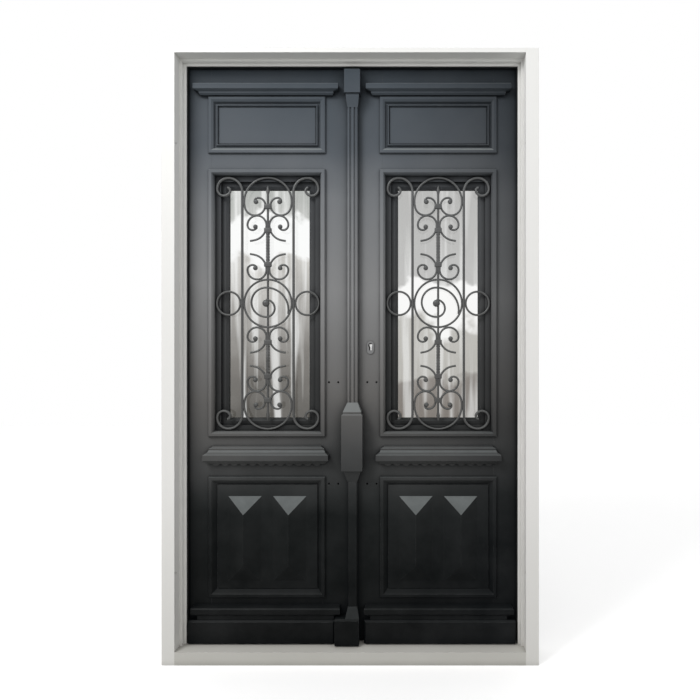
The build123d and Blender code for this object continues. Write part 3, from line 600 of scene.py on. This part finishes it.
class Workshop:
    """Makes meshes with Blender's operators, dresses them and hands them to their bodies."""

    def __init__(self) -> None:
        """Builds the shared groups and every finish."""
        groups = GroupLibrary()
        self.materials = {slot: slot.finish.build(groups) for slot in Slot}

    @staticmethod
    def clear() -> None:
        """Deselects everything."""
        if bpy.context.object and bpy.context.object.mode != "OBJECT":
            bpy.ops.object.mode_set(mode="OBJECT")
        bpy.ops.object.select_all(action="DESELECT")

    def pick(self, piece: Object) -> None:
        """Makes a piece the only one selected, and the active one.

        Args:
            piece: the object.
        """
        self.clear()
        piece.select_set(True)
        bpy.context.view_layer.objects.active = piece

    @staticmethod
    def pick_faces(piece: Object, test: Callable[[bmesh.types.BMFace], bool]) -> None:
        """Selects the faces that pass a test, in edit mode.

        Args:
            piece: the active object.
            test: says whether a face is selected.
        """
        bpy.ops.object.mode_set(mode="EDIT")
        for face in bmesh.from_edit_mesh(piece.data).faces:
            face.select_set(test(face))
        bmesh.update_edit_mesh(piece.data)

    def dress_nodes(self, frame: dict) -> None:
        """Gives every CAD node the finish of its slot.
        """
        by_label = {slot.label: slot for slot in reversed(Slot)}
        # The sashes take a darker copy of the door paint as painted shade; the right pane takes its own painted
        # reflection.
        own = {"left_sash": Slot.SHADED_SASH, "right_sash": Slot.SHADED_SASH, "lock_escutcheon": Slot.PLATE,
               "right_glass": Slot.RIGHT_GLASS}
        for part in frame["record"]["subparts"]:
            node = frame["nodes"][part["node"]]
            material = self.materials[own.get(part["node"], by_label[part["material_slot"]])]
            if not node.material_slots:
                node.data.materials.append(material)
            for place in node.material_slots:
                place.material = material

    def finish_piece(self, piece: Object, name: str, slot: Slot, body: Body) -> Object:
        """Applies a piece's place, smooths it, dresses it and lets it ride.

        Args:
            piece: the object, with its modifiers applied.
            name: its final name.
            slot: the finish it takes.
            body: the body it rides on.

        Returns:
            The same object.
        """
        self.pick(piece)
        bpy.ops.object.transform_apply(location=True, rotation=True, scale=True)
        bpy.ops.object.shade_smooth_by_angle(angle=math.radians(SMOOTH_ANGLE))
        piece.name = piece.data.name = name
        piece.data.materials.clear()
        piece.data.materials.append(self.materials[slot])
        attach(piece, body.value)
        LOG.info("%s: %d faces on %s", name, len(piece.data.polygons), body.value)
        return piece

    def join(self, pieces: list[Object]) -> Object:
        """Joins several objects into the first.

        Args:
            pieces: the objects to join.

        Returns:
            The joined object.
        """
        self.clear()
        for piece in pieces:
            piece.select_set(True)
        bpy.context.view_layer.objects.active = pieces[0]
        bpy.ops.object.join()
        return pieces[0]

    def bevel(self, piece: Object, width: float, segments: int = 2) -> None:
        """Rounds a piece's sharp edges with an applied Bevel modifier.

        Args:
            piece: the object.
            width: the bevel's width in metres.
            segments: how many faces across the round.
        """
        self.pick(piece)
        modifier = piece.modifiers.new("round", "BEVEL")
        modifier.width = width
        modifier.segments = segments
        modifier.limit_method = "ANGLE"
        bpy.ops.object.modifier_apply(modifier="round")

    def button(self, centre: Point, radius: float, depth: float, rim: float, facing: int,
               sides: int = 24) -> Object:
        """A turned button on a flat wall: a disc with an inset socket, such as a screw's head.

        Args:
            centre: where its back meets the wall.
            radius: its radius.
            depth: how far it stands out.
            rim: width of the rim round the socket.
            facing: -1 when it faces out of the building, 1 when it faces in.
            sides: how many sides it has.

        Returns:
            The object, with its place in its matrix.
        """
        self.clear()
        x, y, z = centre
        bpy.ops.mesh.primitive_cylinder_add(
            vertices=sides, radius=radius, depth=depth, end_fill_type="NGON", location=(x, y + facing * depth / 2, z),
            rotation=(-facing * math.pi / 2, 0, 0))
        piece = bpy.context.object
        self.pick_faces(piece, lambda face: face.normal.z > END_FACING)
        bpy.ops.mesh.inset(thickness=rim, depth=rim * 0.3)
        bpy.ops.mesh.inset(thickness=rim * 0.2, depth=-depth * 0.6)
        bpy.ops.object.mode_set(mode="OBJECT")
        return piece

    def copy(self, piece: Object, moves: list[Point]) -> Object:
        """Copies a piece, each copy with its own mesh, and joins the copies to it.

        Args:
            piece: the piece.
            moves: how far each copy lies from it.

        Returns:
            The joined piece.
        """
        copies = [piece]
        for move in moves:
            self.pick(piece)
            bpy.ops.object.duplicate(linked=False)
            bpy.context.object.location = piece.location + Vector(move)
            copies.append(bpy.context.object)
        return self.join(copies)

    def band(self, low: Point, high: Point) -> Object:
        """A block between two corners, as a start for shaping.

        Args:
            low: its lowest corner.
            high: its highest corner.

        Returns:
            The object.
        """
        self.clear()
        middle = [(a + b) / 2 for a, b in zip(low, high)]
        bpy.ops.mesh.primitive_cube_add(size=1, location=middle)
        piece = bpy.context.object
        piece.scale = [b - a for a, b in zip(low, high)]
        bpy.ops.object.transform_apply(location=False, rotation=False, scale=True)
        return piece


@dataclass(frozen=True)
class Bend:
    """One step in forging a bar: a straight run, or an arc where it has a radius."""

    length: float = 0.0
    radius: float = 0.0
    turn: float = 0.0


@dataclass
class Ironwork:
    """The wrought-iron grille: bars with curled corners, arches, scrolls, rings, spiral, knots, twists and spears."""

    workshop: Workshop
    bar: float = 0.0045
    rod: float = 0.0035
    lap: float = 0.0005
    swell: float = 0.0006
    ring_r: float = 0.047
    corner_r: float = 0.056
    corner_eye_r: float = 0.027
    corner_hook_r: float = 0.013
    curls: tuple[float, float, float] = (0.0415, 0.029, 0.014)
    curl_turn: float = 105.0
    eye_r: float = 0.0094
    big_eye_r: float = 0.0145
    spiral: tuple[float, float, float] = (0.0345, 0.059, 0.090)
    spiral_end: float = 100.0
    scroll_r: float = 0.038
    scroll_inner_r: float = 0.020
    scroll_offset: float = 0.006
    scroll_rise: float = 0.090
    flare_r: float = 0.060
    flare_turn: float = 80.0
    flare_tip: float = 0.016
    knot_height: float = 0.068
    knot: tuple[float, float, float] = (0.029, 0.0145, 0.020)
    spear_gap: float = 0.036
    spear_length: float = 0.034
    spear_r: float = 0.0078
    twist_turns: float = 2.5
    twist_half: float = 0.0057
    twist_cuts: int = 36
    sides: int = 10
    ring_sides: int = 56
    collar_round: float = 0.0026
    tip_r: float = 0.0008
    step: float = 9.0
    weld: float = 0.00002

    def __post_init__(self) -> None:
        """Works out the layout from the frame's grille, as the part's source does."""
        low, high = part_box("left_grille")
        self.depth = (low.y + high.y) / 2
        self.half_width = (high.x - low.x) / 2
        self.half_height = (high.z - low.z) / 2
        self.ring_x = self.half_width - self.rod - self.ring_r
        self.bar_x = self.ring_x - self.ring_r - self.rod - self.bar + self.lap
        self.centre_r = self.bar_x - self.bar + self.lap - self.rod
        self.side_r = self.half_width - self.bar - self.bar_x - self.corner_r
        self.corner_z = self.half_height - self.bar - self.corner_r
        self.arch_z = self.half_height - self.rod - self.centre_r
        bent = math.cos(math.radians(self.curl_turn))
        self.unit_z = (self.centre_r + self.arch_z + (self.centre_r - self.curls[0]) * bent - self.curls[0]) / 2

    def forge(self, x: float, z: float, heading: float, steps: list[Bend], radius: float, eye: float = 0.0) -> None:
        """Draws one bar in edit mode: a round section run straight or spun about each bend's centre.

        Args:
            x: start, across from the grille's middle.
            z: start, up from the grille's middle.
            heading: way it starts, in degrees from X towards Z.
            steps: its runs and bends in order.
            radius: the bar's radius.
            eye: radius of the ball at its end, or 0 for none.
        """
        bpy.ops.mesh.select_all(action="DESELECT")
        bpy.ops.mesh.primitive_circle_add(
            vertices=self.sides, radius=radius + self.swell, fill_type="NGON", location=(x, self.depth, z),
            rotation=(0, math.radians(90 - heading), 0))
        for step in steps:
            way = math.radians(heading)
            if not step.radius:
                run = Vector((math.cos(way), 0, math.sin(way))) * step.length
                bpy.ops.mesh.extrude_region_move(TRANSFORM_OT_translate={"value": run})
                x, z = x + run.x, z + run.z
                continue
            hand = math.copysign(1, step.turn)
            cx, cz = x - hand * math.sin(way) * step.radius, z + hand * math.cos(way) * step.radius
            bpy.ops.mesh.spin(steps=max(3, round(abs(step.turn) / self.step)), angle=math.radians(step.turn),
                              center=(cx, self.depth, cz), axis=(0, 1, 0))
            heading += step.turn
            end = math.radians(heading - hand * 90)
            x, z = cx + step.radius * math.cos(end), cz + step.radius * math.sin(end)
            if eye and step is steps[-1]:
                inset = eye - radius
                self.ball(x - math.cos(end) * inset, z - math.sin(end) * inset, eye)

    def ball(self, x: float, z: float, radius: float) -> None:
        """Adds a forged ball in edit mode, a little flattened.

        Args:
            x: its place across.
            z: its place up.
            radius: its radius.
        """
        bpy.ops.mesh.select_all(action="DESELECT")
        centre = (x, self.depth - self.bar * 0.4, z)
        bpy.ops.mesh.primitive_uv_sphere_add(
            segments=18, ring_count=10, radius=radius, location=centre, rotation=(math.pi / 2, 0, 0))
        bpy.ops.transform.resize(value=(1, 0.8, 1), center_override=centre)

    def collar(self, x: float, z: float) -> None:
        """Adds a bevelled collar in edit mode, wrapped round the bars that meet there.

        Args:
            x: its place across.
            z: its place up.
        """
        bpy.ops.mesh.select_all(action="DESELECT")
        bpy.ops.mesh.primitive_cube_add(size=1, location=(x, self.depth, z), scale=self.knot)
        bpy.ops.mesh.bevel(offset=self.collar_round, segments=3, affect="EDGES")

    def spear(self) -> None:
        """Adds the spear point on top of the middle bar in edit mode."""
        top = self.half_height - self.spear_gap
        levels = ((top - self.spear_length, self.bar), (top - self.spear_length * 0.6, self.spear_r),
                  (top, self.tip_r))
        bpy.ops.mesh.select_all(action="DESELECT")
        bpy.ops.mesh.primitive_circle_add(
            vertices=self.sides, radius=self.bar, fill_type="NGON", location=(0, self.depth, 0))
        below, size = 0.0, self.bar
        for level, radius in levels:
            bpy.ops.mesh.extrude_region_move(TRANSFORM_OT_translate={"value": (0, 0, level - below)})
            share = radius / size
            bpy.ops.transform.resize(value=(share, share, share), center_override=(0, self.depth, level))
            below, size = level, radius

    def quarter(self) -> None:
        """Draws the upper left quarter in edit mode."""
        self.forge(-self.bar_x, 0, 90, [
            Bend(self.corner_z), Bend(radius=self.corner_r, turn=90), Bend(radius=self.side_r, turn=90),
            Bend(radius=self.corner_eye_r, turn=150), Bend(radius=self.corner_hook_r, turn=110)], self.bar)
        big, middle, small = self.curls
        self.forge(0, self.arch_z + self.centre_r, 180, [
            Bend(radius=self.centre_r, turn=self.curl_turn), Bend(radius=big, turn=165),
            Bend(radius=middle, turn=90), Bend(radius=small, turn=110)], self.rod, self.eye_r)
        for way in (-1, 1):
            start = self.unit_z + way * self.knot_height
            self.forge(-self.scroll_offset, start, way * 90,
                       [Bend(self.scroll_rise - self.knot_height), Bend(radius=self.scroll_r, turn=way * 180),
                        Bend(radius=self.scroll_inner_r, turn=way * 150)], self.rod, self.eye_r)
            self.forge(-self.scroll_offset, start + way * self.knot[2], -way * 90,
                       [Bend(radius=self.flare_r, turn=-way * self.flare_turn), Bend(self.flare_tip)], self.rod)

    def middle(self) -> None:
        """Draws what isn't repeated in four quarters: the rings, the spiral and its ball."""
        for x, radius in ((0.0, self.centre_r), (-self.ring_x, self.ring_r), (self.ring_x, self.ring_r)):
            bpy.ops.mesh.select_all(action="DESELECT")
            bpy.ops.mesh.primitive_torus_add(
                major_segments=self.ring_sides, minor_segments=self.sides, major_radius=radius,
                minor_radius=self.rod + self.swell, location=(x, self.depth, 0), rotation=(math.pi / 2, 0, 0))
        eye = self.big_eye_r
        self.ball(-eye / 2, 0, eye)
        first, second, third = self.spiral
        self.forge(-eye / 2, eye, 0, [
            Bend(radius=first, turn=-180), Bend(radius=second, turn=-180),
            Bend(radius=third, turn=-self.spiral_end)], self.rod)

    def column(self) -> None:
        """Draws the upper half of the middle bar with its collars and its spear."""
        self.spear()
        for way in (-1, 1):
            self.collar(0, self.unit_z + way * self.knot_height)
        self.collar(0, self.arch_z - self.knot[2])

    def twist(self) -> Object:
        """Makes the twisted square bar between two collars, turned by a Simple Deform modifier.

        Returns:
            The bar.
        """
        self.workshop.clear()
        length = 2 * self.knot_height - self.knot[2]
        bpy.ops.mesh.primitive_cube_add(size=1, scale=(2 * self.twist_half, 2 * self.twist_half, length))
        piece = bpy.context.object
        bpy.ops.object.transform_apply(location=False, rotation=False, scale=True)
        bpy.ops.object.mode_set(mode="EDIT")
        mesh = bmesh.from_edit_mesh(piece.data)
        bpy.ops.mesh.select_mode(type="EDGE")
        for edge in mesh.edges:
            edge.select_set(abs((edge.verts[0].co - edge.verts[1].co).normalized().z) > END_FACING)
        bmesh.update_edit_mesh(piece.data)
        bpy.ops.mesh.subdivide(number_cuts=self.twist_cuts)
        bpy.ops.mesh.select_mode(type="VERT")
        bpy.ops.object.mode_set(mode="OBJECT")
        modifier = piece.modifiers.new("twist", "SIMPLE_DEFORM")
        modifier.deform_method = "TWIST"
        modifier.deform_axis = "Z"
        modifier.angle = math.tau * self.twist_turns
        bpy.ops.object.modifier_apply(modifier="twist")
        piece.location = (0, self.depth, self.unit_z)
        bpy.ops.object.transform_apply(location=True, rotation=False, scale=False)
        return piece

    def drawn(self, draw: list[Callable[[], None]], mirrored: tuple[bool, bool, bool]) -> Object:
        """Runs drawing steps on a new mesh about the grille's middle, then mirrors it, welded where halves meet.

        Args:
            draw: methods that add to the mesh in edit mode.
            mirrored: axes to mirror across.

        Returns:
            The mesh's object.
        """
        piece = bpy.data.objects.new("forging", bpy.data.meshes.new("forging"))
        bpy.context.scene.collection.objects.link(piece)
        self.workshop.pick(piece)
        bpy.ops.object.mode_set(mode="EDIT")
        for step in draw:
            step()
        bpy.ops.mesh.select_all(action="DESELECT")
        axes = [axis for axis, side in enumerate(mirrored) if side]
        self.workshop.pick_faces(
            piece, lambda face: any(all(abs(vert.co[axis]) < self.weld for vert in face.verts) for axis in axes))
        bpy.ops.mesh.delete(type="ONLY_FACE")
        bpy.ops.object.mode_set(mode="OBJECT")
        return self.mirror(piece, mirrored)

    def mirror(self, piece: Object, axes: tuple[bool, bool, bool]) -> Object:
        """Mirrors a piece about the grille's middle, with the modifier applied.

        Args:
            piece: the piece, the active object.
            axes: axes to mirror across.

        Returns:
            The same piece.
        """
        if any(axes):
            modifier = piece.modifiers.new("mirror", "MIRROR")
            modifier.use_axis = axes
            modifier.merge_threshold = self.weld
            bpy.ops.object.modifier_apply(modifier="mirror")
        return piece

    def build(self) -> list[Object]:
        """Makes the grille once, copies it to the other leaf and lets both replace the plain ones.

        Returns:
            The two grilles.
        """
        twist = self.mirror(self.twist(), (False, False, True))
        parts = [self.drawn([self.quarter], (True, False, True)), self.drawn([self.column], (False, False, True)),
                 self.drawn([self.middle], (False, False, False)), twist]
        whole = self.workshop.join(parts)
        bpy.ops.object.mode_set(mode="EDIT")
        bpy.ops.mesh.select_all(action="SELECT")
        bpy.ops.mesh.normals_make_consistent(inside=False)
        bpy.ops.object.mode_set(mode="OBJECT")
        self.workshop.pick(whole)
        bpy.ops.object.duplicate(linked=False)
        grilles = []
        for side, piece in zip(Side, (whole, bpy.context.object)):
            low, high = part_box(f"{side.label}_grille")
            piece.location = ((low.x + high.x) / 2, 0, (low.z + high.z) / 2)
            self.workshop.finish_piece(piece, f"{side.label}_forged_grille", Slot.IRON, side.body)
            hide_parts(f"{side.label}_grille")
            grilles.append(piece)
        return grilles


@dataclass
class HingeScrews:
    """The countersunk screws in the hinge flags on the inner side of the door."""

    workshop: Workshop
    radius: float = 0.0034
    depth: float = 0.0010
    rim: float = 0.0012
    inset: float = 0.010
    bases: tuple[float, float, float] = (0.290, 1.190, 2.090)
    rise: float = 0.0453
    rows: tuple[float, float] = (0.010, 0.034)
    flag_face: float = 0.049

    def build(self) -> list[Object]:
        """Makes the screws of the four hinge halves.

        Returns:
            The pieces, one for each hinge node.
        """
        made = []
        for side in Side:
            made.append(self.row(side, f"{side.label}_hinges", side.body, self.rise, -side.sign))
            made.append(self.row(side, f"frame_hinges_{side.label}", Body.FRAME, 0.0, side.sign))
        return made

    def row(self, side: Side, node: str, body: Body, lift: float, outward: int) -> Object:
        """Makes the screws of one node's three flags.

        Args:
            side: which leaf it is on, not used.
            node: the hinge node.
            body: the body it rides on.
            lift: how far its flags stand above the hinge's base.
            outward: the way along X from the pin to the flag's end.

        Returns:
            The joined screws.
        """
        low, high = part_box(node)
        end = high.x if outward > 0 else low.x
        x = end - outward * self.inset
        spots = [(x, self.flag_face, base + lift + row) for base in self.bases for row in self.rows]
        first = self.workshop.button(spots[0], self.radius, self.depth, self.rim, 1, 16)
        moves = [tuple(b - a for a, b in zip(spots[0], spot)) for spot in spots[1:]]
        piece = self.workshop.copy(first, moves)
        return self.workshop.finish_piece(piece, f"{node}_screws", Slot.HINGE, body)


@dataclass
class Seals:
    """The rubber seal on the inner face of the stops, which the closed leaves press against."""

    workshop: Workshop
    radius: float = 0.0021
    inset: float = 0.006
    lift: float = 0.006
    gap: float = 0.0004
    end_round: float = 0.4

    def strip(self, start: Point, end: Point) -> Object:
        """One stretch of seal between two points, a tube with closed, rounded ends.

        Args:
            start: where it starts.
            end: where it ends.

        Returns:
            The tube.
        """
        self.workshop.clear()
        way = Vector(end) - Vector(start)
        rounding = self.radius * self.end_round
        bpy.ops.mesh.primitive_cylinder_add(
            vertices=12, radius=self.radius, depth=way.length, end_fill_type="NGON",
            location=(Vector(start) + Vector(end)) / 2, rotation=way.to_track_quat("Z", "Y").to_euler())
        piece = bpy.context.object
        self.workshop.pick_faces(piece, lambda face: abs(face.normal.z) > END_FACING)
        bpy.ops.mesh.inset(thickness=rounding, depth=rounding, use_individual=True)
        bpy.ops.object.mode_set(mode="OBJECT")
        return piece

    def build(self) -> Object:
        """Makes the seal up both stops and along the head.

        Returns:
            The seal.
        """
        leaf_low, leaf_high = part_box("left_hinge_stile")
        y = leaf_low.y - self.radius - self.gap
        x = leaf_low.x + self.inset
        bottom = leaf_low.z + self.lift
        top = leaf_high.z - self.inset
        strips = [self.strip((-x, y, bottom), (-x, y, top)), self.strip((x, y, bottom), (x, y, top)),
                  self.strip((x, y, top), (-x, y, top))]
        piece = self.workshop.join(strips)
        return self.workshop.finish_piece(piece, "weather_seal", Slot.RUBBER, Body.FRAME)


@dataclass
class LockCylinder:
    """What shows in the lock plate's keyhole: a near-black disc as painted shadow in its recess, and the bright
    cylinder set to its right.
    """

    workshop: Workshop
    radius: float = 0.0060
    aside: float = 0.0024
    drop: float = 0.001
    rise: float = 0.0085
    tail: tuple[float, float, float] = (0.0031, 0.0195, 0.004)
    depth: float = 0.0018
    rim: float = 0.3
    recess_radius: float = 0.0084
    recess_tail: tuple[float, float, float] = (0.0049, 0.0198, 0.004)
    recess_depth: float = 0.0004

    def shape(self, x: float, y: float, z: float, radius: float, tail: tuple[float, float, float],
              depth: float) -> Object:
        """Makes a disc with a tail under it, standing on the leaf.

        Args:
            x: the disc's place across.
            y: the leaf's front face.
            z: the disc's place up.
            radius: the disc's radius.
            tail: the tail's half width, its foot and its top below the disc's middle.
            depth: how far it stands out.

        Returns:
            The joined shape.
        """
        core = self.workshop.button((x, y, z), radius, depth, radius * self.rim, -1, 32)
        half, down, up = tail
        foot = self.workshop.band((x - half, y - depth, z - down), (x + half, y, z - up))
        self.workshop.bevel(foot, min(half, depth) * self.rim)
        return self.workshop.join([core, foot])

    def build(self) -> list[Object]:
        """Makes the painted shadow disc in the keyhole and the cylinder.

        Returns:
            The two pieces.
        """
        low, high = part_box("lock_escutcheon")
        x = (low.x + high.x) / 2
        z = (low.z + high.z) / 2 + self.rise
        shadow_disc = self.shape(x, high.y, z, self.recess_radius, self.recess_tail, self.recess_depth)
        cylinder = self.shape(x + self.aside, high.y, z - self.drop, self.radius, self.tail, self.depth)
        return [self.workshop.finish_piece(shadow_disc, "keyhole_shadow_disc", Slot.KEYHOLE_SHADOW, Body.RIGHT),
                self.workshop.finish_piece(cylinder, "lock_cylinder", Slot.LOCK, Body.RIGHT)]


@dataclass
class Studio:
    """A plain pale floor, soft lamps, the world and the camera at the photograph's angle."""

    eye: Point = (0.261, -2.100, 1.187)
    focal_px: float = 525.0
    vanishing_px: tuple[float, float] = (418.0, 357.0)
    sensor: float = 36.0
    floor_size: float = 14.0
    floor_bounce: Colour = (0.40, 0.40, 0.39)
    floor_glow: Colour = (0.20, 0.20, 0.20)
    floor_pale: tuple[Colour, Colour] = ((0.97, 0.97, 0.97), (0.99, 0.99, 0.99))
    aim: Point = (0.0, 0.0, 1.2)
    sky: float = 0.80
    lamps: tuple[tuple[str, Point, float, float], ...] = (
        ("key_lamp", (-2.4, -2.5, 4.4), 1.4, 100.0),
        ("fill_lamp", (2.6, -3.6, 2.2), 2.4, 8.0))

    def camera(self) -> None:
        """Places the camera and shifts it so that the straight-ahead point lands where the photograph has it."""
        data = bpy.data.cameras.new("photo_view")
        data.sensor_width = self.sensor
        data.lens = self.focal_px / IMAGE_SIZE * self.sensor
        data.shift_x = (IMAGE_SIZE / 2 - self.vanishing_px[0]) / IMAGE_SIZE
        data.shift_y = (self.vanishing_px[1] - IMAGE_SIZE / 2) / IMAGE_SIZE
        camera = bpy.data.objects.new("photo_view", data)
        camera.location = self.eye
        camera.rotation_euler = (math.pi / 2, 0, 0)
        bpy.context.scene.collection.objects.link(camera)
        bpy.context.scene.camera = camera

    @staticmethod
    def seen(graph: Graph) -> Socket:
        """Marks the rays that show the background: camera, glossy and transmission rays.

        Args:
            graph: the graph to add to.

        Returns:
            A socket that is 1 for those rays.
        """
        path = graph.add("ShaderNodeLightPath")
        shown = graph.math("ADD", path.outputs["Is Camera Ray"], path.outputs["Is Glossy Ray"], clamp=True)
        return graph.math("ADD", shown, path.outputs["Is Transmission Ray"], clamp=True)

    def world(self) -> None:
        """A white background with a softer light of its own."""
        world = bpy.data.worlds.new("studio")
        world.use_nodes = True
        bpy.context.scene.world = world
        graph = Graph(world.node_tree)
        node = world.node_tree.nodes["Background"]
        strength = graph.span(self.seen(graph), 0.0, 1.0, self.sky, 1.0)
        graph.feed(node, {"Color": WHITE, "Strength": strength})

    def floor(self) -> None:
        """A pale floor under the door."""
        Workshop.clear()
        bpy.ops.mesh.primitive_plane_add(size=self.floor_size, location=(0, 0, 0))
        floor = bpy.context.object
        floor.name = "studio_floor"
        material, graph, shader = new_material("studio_floor_white")
        seen = self.seen(graph)
        pale = graph.mix(graph.noise(graph.place(), 3.0), *map(opaque, self.floor_pale))
        colour = graph.mix(seen, opaque(self.floor_bounce), pale)
        glow = graph.mix(seen, BLACK, opaque(self.floor_glow))
        graph.feed(shader, {"Base Color": colour, "Roughness": 0.9, "Specular IOR Level": 0.1, "Emission Color": glow,
                            "Emission Strength": 1.0})
        floor.data.materials.append(material)
        floor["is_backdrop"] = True

    def light(self) -> None:
        """Two wide area lamps, the stronger from the upper left."""
        for name, place, size, power in self.lamps:
            data = bpy.data.lights.new(name, "AREA")
            data.shape = "SQUARE"
            data.size = size
            data.energy = power
            lamp = bpy.data.objects.new(name, data)
            lamp.location = place
            lamp.rotation_euler = (Vector(self.aim) - Vector(place)).to_track_quat("-Z", "Y").to_euler()
            bpy.context.scene.collection.objects.link(lamp)

    def build(self) -> None:
        """Sets up the whole studio."""
        bpy.context.scene.view_settings.view_transform = "Standard"
        self.camera()
        self.world()
        self.floor()
        self.light()


def main(frame: dict, cad_box: tuple[Vector, Vector]) -> None:
    """Dresses the door and sets up the studio.

    Args:
        cad_box: the CAD model's box, not used.
    """
    workshop = Workshop()
    workshop.dress_nodes(frame)
    Ironwork(workshop).build()
    HingeScrews(workshop).build()
    Seals(workshop).build()
    LockCylinder(workshop).build()
    Studio().build()


if __name__ == "__main__":
    logging.basicConfig(level=logging.INFO, format="%(name)s: %(message)s")
    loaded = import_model()
    main(loaded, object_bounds())
